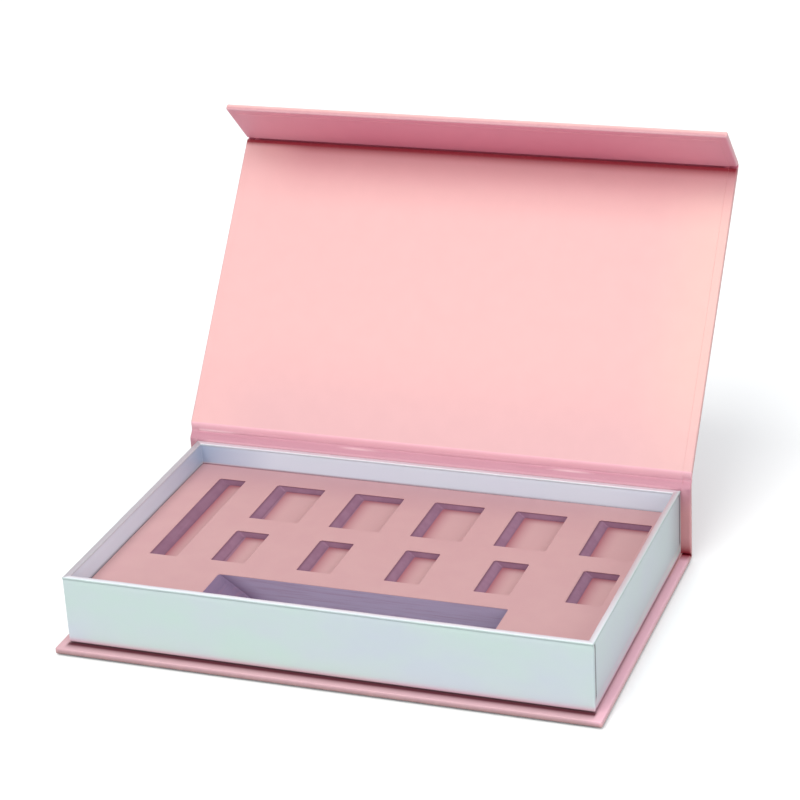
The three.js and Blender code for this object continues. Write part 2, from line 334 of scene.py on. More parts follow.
def makePearlPaper(name, look):
    f = Finish(name)
    place = f.place()
    drift = f.clouds(place * (1.0, 1.6, 1.6), 26, 3.0)
    fibre = f.clouds(place * (2600.0, 900.0, 900.0), 1.0, 3.0, 0.6)
    pearl = f.clouds(place, 5200, 2.0)
    colour = f.ramp(drift, [(0.36, look["mint"]), (0.54, look["blue"]), (0.68, look["lilac"])])
    # painted shade: lavender inside the tray
    colour = f.mix(f.mark("inside") * 0.85, colour, look["lavender"])
    colour = f.mix(f.levels(pearl, 0.55, 0.85) * 0.12, colour, (1.0, 1.0, 1.0))
    # painted light and shade, weighted by the tint mark
    colour = f.mix(f.mark("tint"), colour, f.dye())
    roughness = look["roughness"] + 0.08 * fibre + 0.06 * pearl
    height = 0.7 * fibre + 0.3 * pearl
    return f.surface({
        "Base Color": colour,
        "Roughness": roughness,
        "Metallic": 0.08,
        "Specular IOR Level": 0.6,
        "Coat Weight": 0.35,
        "Coat Roughness": 0.22,
        "Normal": f.bump(height, 0.5, look["grain"]),
    })


# how strongly a spot on the tray's paper takes painted light or shade, and which tone: highlights and shade on the
# rim, shade under it, in the seams, the gutter and at the foot, a pink reflection above the foot, and lit and
# shaded faces
def trayLightAndShade(ink, spot, normal, half, drop, row, groove):
    z, inner, rim, foot, face = row[1:]
    toBack = (spot.y / half.y + 1) / 2
    toRight = (spot.x / half.x + 1) / 2
    if foot and inner:
        return foot * (0.3 if normal.x < -0.5 else 1 - 0.8 * toRight), ink["gutter"]
    if foot:
        return foot, ink["glow" if z > ink["glowFrom"] else "foot"]
    if groove and face:
        return 0.9, ink["seam"]
    if rim:
        side = abs(normal.x) * min(0.1 + 2.5 * toBack, 1.0)
        tone = Vector(ink["frontRim"])
        if inner:
            tone = tone.lerp(Vector(ink["rimInside"]), max(side, 0.6))
        else:
            tone = tone.lerp(Vector(ink["sideRim"]), side)
        tone = tone.lerp(Vector(ink["leftRim"]), max(-normal.x, 0.0))
        return 0.95 * rim, tone.lerp(Vector(ink["backRim"]), max(normal.y, 0.0))
    if drop < ink["rimDrop"] and (face or not inner or normal.y > 0.5):
        return 0.5, ink["rimLine"]
    if face and normal.x > 0.5:
        return 0.35 + 0.35 * toBack, ink["rightFace"]
    if inner == 1 and normal.x < -0.5:
        return 0.85, Vector(ink["leftFront"]).lerp(Vector(ink["leftBack"]), toBack ** 3)
    if inner == 1 and normal.y > 0.5:
        return max(1 - (spot.x + half.x) / ink["backFade"], 0.0), ink["leftBack"]
    return 0.0, ink["blue"]


# soft-touch facing of the insert, with painted shade towards the back and in its pockets
roseFacing = {
    "tone": srgb(199, 157, 157),
    "deepTone": srgb(197, 154, 155),
    "napTone": srgb(206, 166, 166),
    # painted shade towards the tray's back wall
    "backTone": srgb(176, 130, 140),
    # an even tone for the pockets' floors, painted light against the shade they lie in
    "floorTone": srgb(198, 156, 156),
    "wallTone": srgb(140, 99, 119),     # painted shadow of the left-hand pockets' walls, spread over their floors
    "nookTone": srgb(154, 84, 96),      # painted shade on a pocket's floor, against its walls
    "edgeTone": srgb(140, 84, 92),      # painted shade along the tray's back wall
    "edgeReach": 0.8 * mm,
    "backFrom": 30 * mm,                # the painted shade at the back starts here, and eases off right of the next
    "backEase": 20 * mm,
    "runOut": 0.022,                    # how far a wall's painted shadow spreads, for each millimetre left of the next
    "runOutFrom": 10 * mm,
    "runOutLeast": 0.1 * mm,
    "leftReach": 7 * mm,
    "backReach": 5 * mm,
    "rowEnds": 3 * mm,                  # a row's painted shade reaches this far past its ends and its sides
    "rowSides": 1 * mm,
    "floorDrop": 1 * mm,                # the pockets' floors lie at least this far down
    "floorFade": 0.5 * mm,
    "roughness": 0.82,
    "nap": 0.03 * mm,
}


# painted shade on a pocket's floor: how close a spot is to the left and back walls of its own row, and how far the
# painted shadow of the left wall spreads over it
def pocketShade(f, look, body, names):
    first, last = openings[names[0]], openings[names[-1]]
    pitch = openings[names[1]][0].x - first[0].x if len(names) > 1 else 1.0
    across, depth = f.part(body, "X"), f.part(body, "Y")
    gap = f.maths("FLOORED_MODULO", across - (first[0].x - cutRoom), pitch)
    left = f.near(gap, look["leftReach"])
    back = f.near(first[1].y + cutRoom - depth, look["backReach"])
    inRow = f.within(across, first[0].x, last[1].x, look["rowEnds"])
    inRow = inRow * f.within(depth, first[0].y, first[1].y, look["rowSides"])
    size = first[1].y - first[0].y
    toFront = f.levels(first[1].y - depth, -size, size)
    reach = look["runOut"] * (look["runOutFrom"] - across) * toFront
    reach = f.maths("MAXIMUM", reach, look["runOutLeast"])
    runOut = 1.0 - f.levels(gap, 0.6 * reach, reach)
    return inRow * (left + back - left * back), inRow * runOut


def makeRoseFacing(name, look):
    f = Finish(name)
    body = f.body()
    mottle = f.clouds(body, 90, 4.0)
    nap = f.clouds(body, 2400, 3.0, 0.65)
    fine = f.clouds(body, 6000, 2.0)
    across, depth, rise = (f.part(body, axis) for axis in "XYZ")
    low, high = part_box("insert_face")
    floorTop = low.z - look["floorDrop"]
    floor = 1.0 - f.levels(rise, floorTop - look["floorFade"], floorTop)
    rows = [[n for n in openings if word in n] for word in ("large_nail", "small_nail", "file_slot")]
    nooks = [pocketShade(f, look, body, names) for names in rows]
    nook = sum(pair[0] for pair in nooks)
    runOut = nooks[0][1] + nooks[1][1]
    colour = f.mix(f.levels(mottle, 0.3, 0.7), look["deepTone"], look["tone"])
    colour = f.mix(f.levels(nap, 0.5, 0.8) * 0.22, colour, look["napTone"])
    # painted shade towards the back wall, along it, and on the pockets' floors
    farBack = f.levels(depth, look["backFrom"], high.y)
    farBack = farBack * (1.0 - 0.6 * f.levels(across, look["backEase"], high.x))
    colour = f.mix(farBack * 0.5, colour, look["backTone"])
    edge = f.levels(depth, high.y - look["edgeReach"], high.y)
    edge = edge * (1.0 - 0.8 * f.levels(across, 0.0, high.x))
    colour = f.mix(edge * 0.7, colour, look["edgeTone"])
    colour = f.mix(floor * 0.8, colour, look["floorTone"])
    colour = f.mix(floor * nook, colour, look["nookTone"])
    colour = f.mix(floor * runOut, colour, look["wallTone"])
    return f.surface({
        "Base Color": colour,
        "Roughness": look["roughness"] + 0.12 * nap - 0.05 * mottle,
        "Specular IOR Level": 0.3,
        "Sheen Weight": 0.12,
        "Sheen Roughness": 0.5,
        "Normal": f.bump(0.7 * nap + 0.3 * fine, 0.6, look["nap"]),
    })


# cut foam: small closed cells, with faint drag marks of the knife
mauveFoam = {
    "tone": srgb(154, 118, 140),
    "deepTone": srgb(146, 109, 132),
    "edgeTone": srgb(112, 74, 92),      # painted shade along the top and the foot of a pocket's wall, and on sloping walls
    "slotTone": srgb(170, 154, 180),
    "rampTone": srgb(124, 104, 132),    # painted shade on the slot's long sloping end
    "rampReach": 8 * mm,
    "rampSkin": 0.5 * mm,
    "slotRamp": 22 * mm,
    "slotRoom": 1 * mm,                 # the slot's tone goes this far past it, and fades by the next
    "slotFade": 4 * mm,
    "fileFade": 4 * mm,
    "leanFrom": -20 * mm,               # a sloping wall's painted shade is deepest left of this, palest right of the next
    "leanTo": 80 * mm,
    "roughness": 0.9,
    "cell": 0.08 * mm,
}


def makeMauveFoam(name, look, slotBox):
    f = Finish(name)
    body = f.body()
    low, high = slotBox
    cells = f.add("ShaderNodeTexVoronoi", {"feature": "F1"}, {"Vector": body, "Scale": 1500.0})
    drag = f.clouds(body * (50.0, 50.0, 1500.0), 1.0, 3.0, 0.6)
    mottle = f.clouds(body, 220, 3.0)
    across, depth, rise = (f.part(body, axis) for axis in "XYZ")
    inSlot = 1.0 - f.levels(depth, high.y + look["slotRoom"], high.y + look["slotFade"])
    # height above the slot's floor or its sloping end
    slope = (high.z - low.z) / look["slotRamp"]
    above = rise - low.z - slope * f.maths("MAXIMUM", low.x - across, 0.0)
    onRamp = f.near(above - look["rampSkin"], look["rampReach"])
    colour = f.mix(f.levels(mottle, 0.3, 0.7), look["deepTone"], look["tone"])
    foot, top = (corner.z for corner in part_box("insert_upper_foam"))
    share = (rise - foot) * (1 / (top - foot))
    # painted shade along the top and foot of each pocket wall
    colour = f.mix(0.5 * f.near(share, 0.3) + f.near(1.0 - share, 0.3), colour, look["edgeTone"])
    # painted shade on sloping walls, deepest on the left and in the file slot
    lean = f.levels(f.part(f.add("ShaderNodeTexCoord", output=1), "Z"), 0.1, 0.5)
    fileSide = openings["file_slot"][1].x
    inFile = 1.0 - f.levels(across, fileSide, fileSide + look["fileFade"])
    toRight = f.levels(across, look["leanFrom"], look["leanTo"])
    colour = f.mix(lean * (0.22 - 0.2 * toRight + 0.25 * inFile), colour, look["edgeTone"])
    colour = f.mix(inSlot, colour, look["slotTone"])
    # painted shade on the slot's sloping end
    colour = f.mix(inSlot * onRamp, colour, look["rampTone"])
    colour = f.mix(f.levels(drag, 0.45, 0.75) * 0.4, colour, look["deepTone"])
    return f.surface({
        "Base Color": colour,
        "Roughness": look["roughness"] - 0.08 * mottle,
        "Specular IOR Level": 0.25,
        "Normal": f.bump(0.6 * cells + 0.4 * drag, 0.6, look["cell"]),
    })


# grey board core, with recycled flecks
greyBoard = {"tone": srgb(168, 161, 150), "fleck": srgb(122, 114, 104), "grain": 0.05 * mm}


def makeGreyBoard(name, look):
    f = Finish(name)
    body = f.body()
    pulp = f.clouds(body, 900, 5.0, 0.6)
    flecks = f.levels(f.clouds(body * (2200.0, 700.0, 2200.0), 1.0, 2.0), 0.62, 0.72)
    colour = f.mix(pulp * 0.35 + flecks * 0.4, look["tone"], look["fleck"])
    return f.surface({
        "Base Color": colour,
        "Roughness": 0.88 + 0.1 * pulp,
        "Normal": f.bump(pulp, 0.6, look["grain"]),
    })


# corner stay tape
kraftTape = {"tone": srgb(200, 168, 122), "fibre": srgb(172, 138, 94), "grain": 0.03 * mm}


def makeKraftTape(name, look):
    f = Finish(name)
    body = f.body()
    fibre = f.clouds(body * (900.0, 900.0, 3200.0), 1.0, 4.0, 0.6)
    colour = f.mix(f.levels(fibre, 0.4, 0.75), look["tone"], look["fibre"])
    return f.surface({
        "Base Color": colour,
        "Roughness": 0.78 + 0.15 * fibre,
        "Normal": f.bump(fibre, 0.5, look["grain"]),
    })


# nickel plate on the magnets and the steel discs
platedSteel = {"tone": srgb(196, 198, 202), "dull": srgb(160, 162, 166), "scratch": 0.01 * mm}


def makePlatedSteel(name, look):
    f = Finish(name)
    body = f.body()
    haze = f.clouds(body, 600, 4.0)
    brushed = f.clouds(body * (4200.0, 300.0, 300.0), 1.0, 2.0)
    colour = f.mix(f.levels(haze, 0.4, 0.7), look["tone"], look["dull"])
    return f.surface({
        "Base Color": colour,
        "Metallic": 1.0,
        "Roughness": 0.22 + 0.2 * haze,
        "Normal": f.bump(brushed, 0.4, look["scratch"]),
    })


finishes = {
    "pink_paper": makePinkPaper("pink paper", pinkPaper),
    "pearl_paper": makePearlPaper("pearl paper", pearlPaper),
    "rose_facing": makeRoseFacing("rose facing", roseFacing),
    "mauve_foam": makeMauveFoam("mauve foam", mauveFoam, openings["tool_slot"]),
    "greyboard": makeGreyBoard("grey board", greyBoard),
    "kraft_tape": makeKraftTape("kraft tape", kraftTape),
    "plated_steel": makePlatedSteel("plated steel", platedSteel),
}
for part in frame["record"]["subparts"]:
    mesh = frame["nodes"][part["node"]].data
    mesh.materials.clear()
    mesh.materials.append(finishes[part["material_slot"]])
print("finishes made,", len(finishes))


# mesh helpers
def addPiece(name, slotName, points, faces, marks=None, place=None, tonesAndShading=None):
    mesh = bpy.data.meshes.new(name)
    mesh.from_pydata([tuple(p) for p in points], [], faces)
    table = mesh.attributes.new("place", "FLOAT_VECTOR", "POINT")
    flat = [v for p in (place or points) for v in p]
    table.data.foreach_set("vector", flat)
    for mark, values in (marks or {}).items():
        mesh.attributes.new(mark, "FLOAT", "POINT").data.foreach_set("value", values)
    if tonesAndShading:
        flat = [v for dye in tonesAndShading for v in (*dye, 1.0)]
        mesh.attributes.new("dye", "FLOAT_COLOR", "POINT").data.foreach_set("color", flat)
    shell = bmesh.new()
    shell.from_mesh(mesh)
    bmesh.ops.recalc_face_normals(shell, faces=shell.faces)
    shell.to_mesh(mesh)
    shell.free()
    mesh.shade_smooth()
    mesh.set_sharp_from_angle(angle=math.radians(38))
    mesh.materials.append(finishes[slotName])
    piece = bpy.data.objects.new(name, mesh)
    bpy.context.collection.objects.link(piece)
    soften = piece.modifiers.new("weighted normals", "WEIGHTED_NORMAL")
    soften.weight = 80
    soften.keep_sharp = True
    return piece


def skinFaces(ringCount, ringSize, closed):
    faces = []
    for ring in range(ringCount if closed else ringCount - 1):
        here = ring * ringSize
        there = (ring + 1) % ringCount * ringSize
        for step in range(ringSize):
            after = (step + 1) % ringSize
            faces.append((here + step, here + after, there + after, there + step))
    if not closed:
        faces.append(tuple(range(ringSize)))
        faces.append(tuple((ringCount - 1) * ringSize + step for step in range(ringSize)))
    return faces


def wobble(x, y, seed):
    return noise.noise(Vector((x, y, seed)))


# the case: base, spine, lid and flap as one folded section in the YZ plane
hinges = {j["name"]: j for j in frame["joints"]}
lidPivot = Vector(hinges["lid_hinge"]["pos_m"][1:])
flapPivot = Vector(hinges["flap_hinge"]["pos_m"][1:])
lidPath = flapPivot - lidPivot
casePanels = {
    "halfLength": caseHigh.x,
    "front": caseLow.y,
    "wrapped": caseHigh.z,
    "crease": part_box("spine_board")[0].z,   # half the width of each crease
    "lidLength": lidPath.length,
    "lidFold": -math.atan2(lidPath.x, lidPath.y),
    "flapFold": math.radians(-hinges["flap_hinge"]["range_deg"][0]),
    "flapLength": 28.6 * mm,
    "edge": 0.6 * mm,           # how far the paper rounds the board's edges
    "corner": 0.5 * mm,         # and its corners
    "baseCorner": 0.75 * mm,
    "flapEdge": 0.75 * mm,
    "groove": 0.5 * mm,         # what is left over the groove
    "columns": 84,
    "creaseSteps": 24,
    "soil": 1.5 * mm,           # how high the painted contact shadow on the standing edge reaches
    "fade": 30 * mm,            # how far down the lid the flap's shade reaches
    "fineLid": 5 * mm,          # finer steps next to the flap's crease
    "fineFlap": 3 * mm,
    "fold": 1.0 * mm,           # how wide the painted shade of a fold is, and how far it runs out
    # how far the painted shade of a fold reaches onto the panels beside it
    "nook": 4.5 * mm,
    "lowFade": 45 * mm,         # how far up the lid the painted shade at its foot reaches
    # how far down the spine the hinge's painted shade reaches
    "spineFade": 10 * mm,
    "ledgeReach": 8 * mm,       # how far in the painted light and shade at the ends reach, on each panel and crease
    "hingeReach": 6 * mm,
    "lidReach": 30 * mm,
    "creaseReach": 1 * mm,
    "flapReach": 60 * mm,
}


def station(outer, inward, thick, along, inset=0.0, shrink=0.0, groove=0.0, share=0.0):
    return {
        "outer": outer, "inward": inward, "thick": thick, "along": along,
        "inset": inset, "shrink": shrink, "groove": groove, "share": share,
        "dye": pinkPaper["lid"], "ends": None,
    }


def turnedPair(direction, inward, angle):
    ahead = direction * math.cos(angle) + inward * math.sin(angle)
    return ahead, inward * math.cos(angle) - direction * math.sin(angle)


def flatRun(start, direction, inward, length, steps, thick, along):
    return [
        station(start + direction * (length * s / steps), inward, thick, along + length * s / steps)
        for s in range(steps + 1)
    ]


# a free edge: the panel's thickness and width draw in over the last part of its length
def freeEnd(start, direction, inward, length, thick, along, edge, corner):
    run = []
    for gap in (1.0, 0.72, 0.5, 0.36, 0.24, 0.14, 0.06, 0.015, 0.0):
        left = max(edge, corner) * gap
        inset = edge - math.sqrt(edge ** 2 - max(edge - left, 0.0) ** 2)
        shrink = corner - math.sqrt(corner ** 2 - max(corner - left, 0.0) ** 2)
        spot = start + direction * (length - left)
        run.append(station(spot, inward, thick, along + length - left, inset, shrink))
    return run


def creaseRun(pivot, direction, inward, fold, half, steps, thick, low, along):
    radius = half / math.tan(fold / 2)
    start = pivot - direction * half
    run = []
    for step in range(1, steps):
        share = step / steps
        lean = turnedPair(direction, inward, fold * share)[1]
        spot = start + direction * radius * math.sin(fold * share)
        spot = spot + inward * radius * (1 - math.cos(fold * share))
        rise = abs(2 * share - 1)
        shoulder = rise ** 2 * (3 - 2 * rise)
        height = low + (thick - low) * shoulder
        passed = along + 2 * half * share
        run.append(station(spot, lean, height, passed, groove=1 - shoulder, share=share))
    return run


def panelRing(half, thick, edge, columns):
    radius = min(edge, thick * 0.45)
    reach = half - radius
    angles = [math.radians(a) for a in (22.5, 45, 67.5, 90)]
    top = [(-reach + 2 * reach * c / columns, 0.0, 0.0) for c in range(columns + 1)]
    arc = [(reach + radius * math.sin(a), radius * (1 - math.cos(a)), 1.0) for a in angles]
    right = arc + [(x, thick - depth, worn) for x, depth, worn in reversed(arc)]
    under = [(-x, thick, 0.0) for x, depth, worn in top]
    left = [(-x, thick - depth, worn) for x, depth, worn in right]
    return top + right + under + left


# the closed ends of a swept panel, as a row of quads
def panelCaps(stationCount, ringSize, columns):
    arc = (ringSize - 2 * (columns + 1)) // 2
    under = columns + 1 + arc
    faces = []
    for first in (0, (stationCount - 1) * ringSize):
        faces += [
            (first + c, first + c + 1, first + under + columns - c - 1, first + under + columns - c)
            for c in range(columns)
        ]
        faces.append(tuple(first + i for i in range(columns, under + 1)))
        faces.append(tuple(first + i % ringSize for i in range(under + columns, ringSize + 1)))
    return faces


def smooth(share):
    share = min(max(share, 0.0), 1.0)
    return share ** 2 * (3 - 2 * share)


def sweepPanel(name, stations, halfLength, look, edge, ridges=(), ripple=0.0, seed=0.0):
    points, place, worn, tonesAndShading = [], [], [], []
    outside, soil = Vector(pinkPaper["lid"]), Vector(pinkPaper["soil"])
    for s in stations:
        thick = s["thick"] - 2 * s["inset"]
        ring = panelRing(halfLength - s["shrink"], thick, edge, look["columns"])
        for x, depth, edgeWorn in ring:
            lift, glint = s["inset"] + depth, 0.0
            if depth > thick * 0.5 and s["groove"] > 0:
                lift += ripple * s["groove"] * wobble(x * 90, s["along"] * 260, seed)
                for at, width, height in ridges:
                    pinch = math.exp(-((s["share"] - at) / width) ** 2)
                    lift += height * pinch * (0.75 + 0.7 * wobble(x * 34, at * 40, seed + 3))
                    shine = smooth(3 * wobble(x * 30, at * 90, seed + 8) - 0.3)
                    glint = max(glint, 0.8 * pinch * shine)
            y, z = s["outer"] + s["inward"] * lift
            points.append((x, y, z))
            place.append((x, s["along"], lift))
            worn.append(max(edgeWorn, min(s["inset"] / edge * 1.5, 1.0)))
            dye = Vector(s["dye"])
            if s["ends"]:
                left, right, reach = s["ends"]
                atEnd = smooth(1 - (halfLength - abs(x)) / reach)
                dye = dye.lerp(Vector(left if x < 0 else right), atEnd)
            dye = outside.lerp(dye.lerp(Vector(pinkPaper["glint"]), glint), (depth / thick) ** 2)
            # painted contact shadow along the edge the box stands on, weaker at the sides
            atSide = smooth(1 - (halfLength - abs(x)) / look["soil"])
            tonesAndShading.append(dye.lerp(soil, max(1 - z / look["soil"], 0.0) * (1 - 0.7 * atSide)))
    faces = skinFaces(len(stations), len(ring), False)[:-2]
    faces += panelCaps(len(stations), len(ring), look["columns"])
    return addPiece(name, "pink_paper", points, faces, {"worn": worn}, place, tonesAndShading)


# gives a run tones from one to another, and other tones at its ends; on the case these tones are painted shade and
# light
def tinted(run, first, second, share, ends=None):
    for s in run:
        s["dye"] = Vector(first).lerp(Vector(second), min(max(share(s), 0.0), 1.0))
        s["ends"] = ends


def caseSections(look):
    crease, groove, steps = look["crease"], look["groove"], look["creaseSteps"]
    wrapped = look["wrapped"]
    edge, corner, baseCorner = look["edge"], look["corner"], look["baseCorner"]
    east, north = Vector((1, 0)), Vector((0, 1))
    foot = Vector((lidPivot.x, 0))

    # base, from its front edge to the spine
    baseLength = lidPivot.x - crease - look["front"]
    baseEnd = Vector((foot.x - crease, 0))
    frontEdge = freeEnd(baseEnd, -east, north, baseLength, wrapped, 0, edge, baseCorner)
    for s in frontEdge:
        s["along"] = baseLength - s["along"]
    base = list(reversed(frontEdge))
    start = Vector((look["front"] + baseCorner, 0))
    base += flatRun(start, east, north, baseLength - baseCorner, 24, wrapped, baseCorner)[1:]
    along = baseLength
    base += creaseRun(foot, east, north, math.pi / 2, crease, steps, wrapped, groove, along)
    along += 2 * crease

    # spine and lid
    spineLength = lidPivot.y - 2 * crease
    spine = flatRun(Vector((foot.x, crease)), north, -east, spineLength, 8, wrapped, along)
    along += spineLength
    hinge = creaseRun(lidPivot, north, -east, look["lidFold"], crease, steps, wrapped, groove, along)
    along += 2 * crease
    ahead, inward = turnedPair(north, -east, look["lidFold"])
    lidLength = look["lidLength"] - 2 * crease
    rest = lidLength - look["fineLid"]
    lid = flatRun(lidPivot + ahead * crease, ahead, inward, rest, 56, wrapped, along)
    lid += flatRun(lid[-1]["outer"], ahead, inward, look["fineLid"], 10, wrapped, along + rest)[1:]
    along += lidLength

    # flap
    fold = look["flapFold"]
    flapHinge = creaseRun(flapPivot, ahead, inward, fold, crease, steps, wrapped, groove, along)
    along += 2 * crease
    down, under = turnedPair(ahead, inward, fold)
    flapRoot = flapPivot + down * crease
    flapLength = look["flapLength"] - crease
    flapEdge, fine = look["flapEdge"], look["fineFlap"]
    flap = flatRun(flapRoot, down, under, fine, 8, wrapped, along)
    rest = flapLength - flapEdge - fine
    flap += flatRun(flapRoot + down * fine, down, under, rest, 8, wrapped, along + fine)[1:]
    flap += freeEnd(flapRoot, down, under, flapLength, wrapped, along, flapEdge, corner)[1:]

    # painted shade and light along the sheet: deeper in the folds, hinge, spine and base, on the flap's lining,
    # under the flap and at the lid's foot; lighter at the hinge's foot, the lid's shoulder, its right side and the
    # flap's end
    ink, fade, nook = pinkPaper, look["fade"], look["nook"]
    spineStart, spineEnd = spine[0]["along"], spine[-1]["along"]
    lidStart, lidEnd, flapStart = lid[0]["along"], lid[-1]["along"], flap[0]["along"]
    ledgeEnds = (ink["base"], ink["ledge"], look["ledgeReach"])
    hingeEnds = (ink["hinge"], ink["hinge"], look["hingeReach"])
    creaseEnds = (ink["flapRoot"], ink["flapRoot"], look["creaseReach"])
    flapEnds = (ink["flapEnd"], ink["flapEnd"], look["flapReach"])
    tinted(base, ink["base"], ink["crease"], lambda s: 1 - (baseLength - s["along"]) / nook)
    for s in base:
        s["ends"] = ledgeEnds if s["along"] < baseLength - nook else None
    tinted(spine, ink["spine"], ink["hinge"], lambda s: 1 - (spineEnd - s["along"]) / look["spineFade"])
    tinted(spine[:2], ink["crease"], ink["spine"], lambda s: (s["along"] - spineStart) / nook)
    tinted(hinge, ink["hinge"], ink["shoulder"], lambda s: (s["share"] - 0.4) * 2.8)
    rise = spine[-1:] + hinge[:3]
    tinted(rise, ink["hingeFoot"], ink["hinge"], lambda s: 8 * s["share"], hingeEnds)
    tinted(lid, ink["lid"], ink["shade"], lambda s: smooth(1 - (lidEnd - s["along"]) / fade))
    for s in lid:
        low = smooth(1 - (s["along"] - lidStart) / look["lowFade"])
        plain = s["dye"].lerp(Vector(ink["lidFoot"]), 0.6 * low)
        gap = max(lidEnd - s["along"] - look["fold"], 0.0)
        deep, thin = (max(1 - gap / reach, 0.0) ** 2 for reach in (nook, nook / 2))
        s["dye"] = plain.lerp(Vector(ink["crease"]), deep)
        bare = plain.lerp(Vector(ink["lid"]), 0.6).lerp(Vector(ink["crease"]), thin)
        unshaded = smooth((lidEnd - s["along"]) / fade) * (1 - 0.6 * low)
        atRight = s["dye"].lerp(Vector(ink["lidRight"]), 0.7 * unshaded)
        s["ends"] = (bare, atRight, look["lidReach"])
    tinted(flapHinge, ink["crease"], ink["flapRoot"], lambda s: (s["share"] - 0.1) * 2.5, creaseEnds)
    tinted(
        flap, ink["flapRoot"], ink["flap"],
        lambda s: (s["along"] - flapStart) / flapLength, flapEnds,
    )
    tinted(flap[-8:], ink["flapTurn"], ink["flapLip"], lambda s: s["inset"] / flapEdge)
    return {
        "base": base, "spine": spine, "hinge": hinge, "lid": lid,
        "flapHinge": [lid[-1]] + flapHinge, "flap": flap,
    }


sections = caseSections(casePanels)
half = casePanels["halfLength"]

caseWrap = sweepPanel(
    "case_wrap", sections["base"] + sections["spine"] + sections["hinge"] + sections["lid"],
    half, casePanels, casePanels["edge"],
)
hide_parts("base_wrap", "base_crease_wrap", "spine_wrap", "lid_crease_wrap", "lid_wrap")
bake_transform(caseWrap)

flapWrap = sweepPanel(
    "flap_cover", sections["flapHinge"] + sections["flap"], half, casePanels, casePanels["edge"],
)
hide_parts("flap_crease_wrap", "flap_wrap")
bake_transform(flapWrap)


# liner paper, glued over the turned-in wrap
linerSheet = {
    "inset": caseHigh.x - linerSide,
    "foot": 22 * mm,            # how far it runs under the tray
    "bend": 3 * mm,             # from its upright part to the corner, along the sheet
    "heel": 2 * mm,             # and from the corner to its last step under the tray
    "lastStep": 0.2 * mm,       # on the flap, the last step is at least this long
    "thick": 0.15 * mm,
    "edge": 0.06 * mm,
    "glue": 0.02 * mm,
    "ripple": 0.12 * mm,
    "ridges": ((0.36, 0.05, 0.30 * mm), (0.58, 0.06, 0.22 * mm)),   # place in the crease, width, height
}


def linerRun(run, look):
    lined = []
    for s in run:
        spot = s["outer"] + s["inward"] * (s["thick"] + look["glue"])
        lined.append({**s, "outer": spot, "thick": look["thick"]})
    return lined


def linerFoot(look, panels):
    level = panels["wrapped"] + look["glue"]
    first = sections["spine"][0]
    corner = Vector((lidPivot.x - level, level))
    toe = Vector((lidPivot.x - look["foot"], level))
    heel = corner - Vector((look["heel"], 0))
    up, lean = Vector((0, 1)), Vector((-1, 1)).normalized()
    bend = first["along"] - look["bend"]
    return [
        station(toe, up, look["thick"], first["along"] - look["foot"]),
        station(heel, up, look["thick"], bend - look["heel"]),
        station(corner, lean, look["thick"] * math.sqrt(2), bend),
    ]


def trimmedFlap(run, look):
    last = run[-1]["along"] - look["inset"]
    flat = [s for s in run if s["inset"] == 0 and s["shrink"] == 0]
    kept = [s for s in flat if s["along"] < last - look["lastStep"]]
    ahead = (kept[1]["outer"] - kept[0]["outer"]).normalized()
    spot = kept[-1]["outer"] + ahead * (last - kept[-1]["along"])
    return kept + [{**kept[-1], "outer": spot, "along": last}]


linerHalf = half - linerSheet["inset"]
lidLiner = sweepPanel(
    "lid_lining",
    linerFoot(linerSheet, casePanels)
    + linerRun(sections["spine"] + sections["hinge"] + sections["lid"], linerSheet),
    linerHalf, casePanels, linerSheet["edge"], linerSheet["ridges"], linerSheet["ripple"], 2.0,
)
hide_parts("spine_liner", "lid_crease_liner", "lid_liner")
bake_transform(lidLiner)

flapShort = trimmedFlap(sections["flap"], linerSheet)
flapLiner = sweepPanel(
    "flap_lining", linerRun(sections["flapHinge"] + flapShort, linerSheet),
    linerHalf, casePanels, linerSheet["edge"], (), linerSheet["ripple"], 7.0,
)
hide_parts("flap_crease_liner", "flap_liner")
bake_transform(flapLiner)
print("case papers folded")


# the tray's paper: up the outside, over the rim and down the inside, with a hem underneath
trayPaper = {
    "thick": 0.18 * mm,
    "wall": trayHigh.x - floorHigh.x - 0.1 * mm,    # the floor's liner stops 0.1 mm short of it
    "outerCorner": 0.6 * mm,
    "innerCorner": 0.45 * mm,
    "rim": 0.45 * mm,
    "bead": 0.06 * mm,          # the rim stands proud of the wall by this
    "dip": 0.10 * mm,           # and the paper draws in below it, by these shares at these depths
    "dipRows": ((0.0, 2.4 * mm), (0.5, 1.7 * mm), (1.0, 1.15 * mm), (0.4, 0.8 * mm)),
    "foot": 0.9 * mm,
    "footFade": ((0.4 * mm, 0.45), (1.0 * mm, 0.2), (1.8 * mm, 0.01)),   # how the painted shadow of the gap under the foot fades up the wall
    # how the painted shade of the gutter fades above the insert
    "gutterFade": ((0.8 * mm, 0.0), (0.35 * mm, 0.35), (0.0, 0.85)),
    "hem": 14 * mm,
    "wave": 0.09 * mm,
    "seam": (0.4 * mm, 0.7 * mm, 1.9 * mm, 2.2 * mm),   # along each end wall, from the corner
    "seamDepth": 0.12 * mm,
    "tuck": 0.2 * mm,           # the folded tip at each corner of the rim, and how soon it fades
    "tuckFall": 1.2 * mm,
    "columnsLong": 66,
    "columnsShort": 42,
    "arcSteps": 6,
}


def wallShares(length, columns, seam):
    if not seam:
        return [(step / columns, 0.0) for step in range(1, columns)]
    near = [(d / length, 1.0 if 0 < i < 3 else 0.0) for i, d in enumerate(seam)]
    far = [(1 - share, groove) for share, groove in reversed(near)]
    start, end = near[-1][0], far[0][0]
    between = [(start + (end - start) * step / columns, 0.0) for step in range(1, columns)]
    return near + between + far


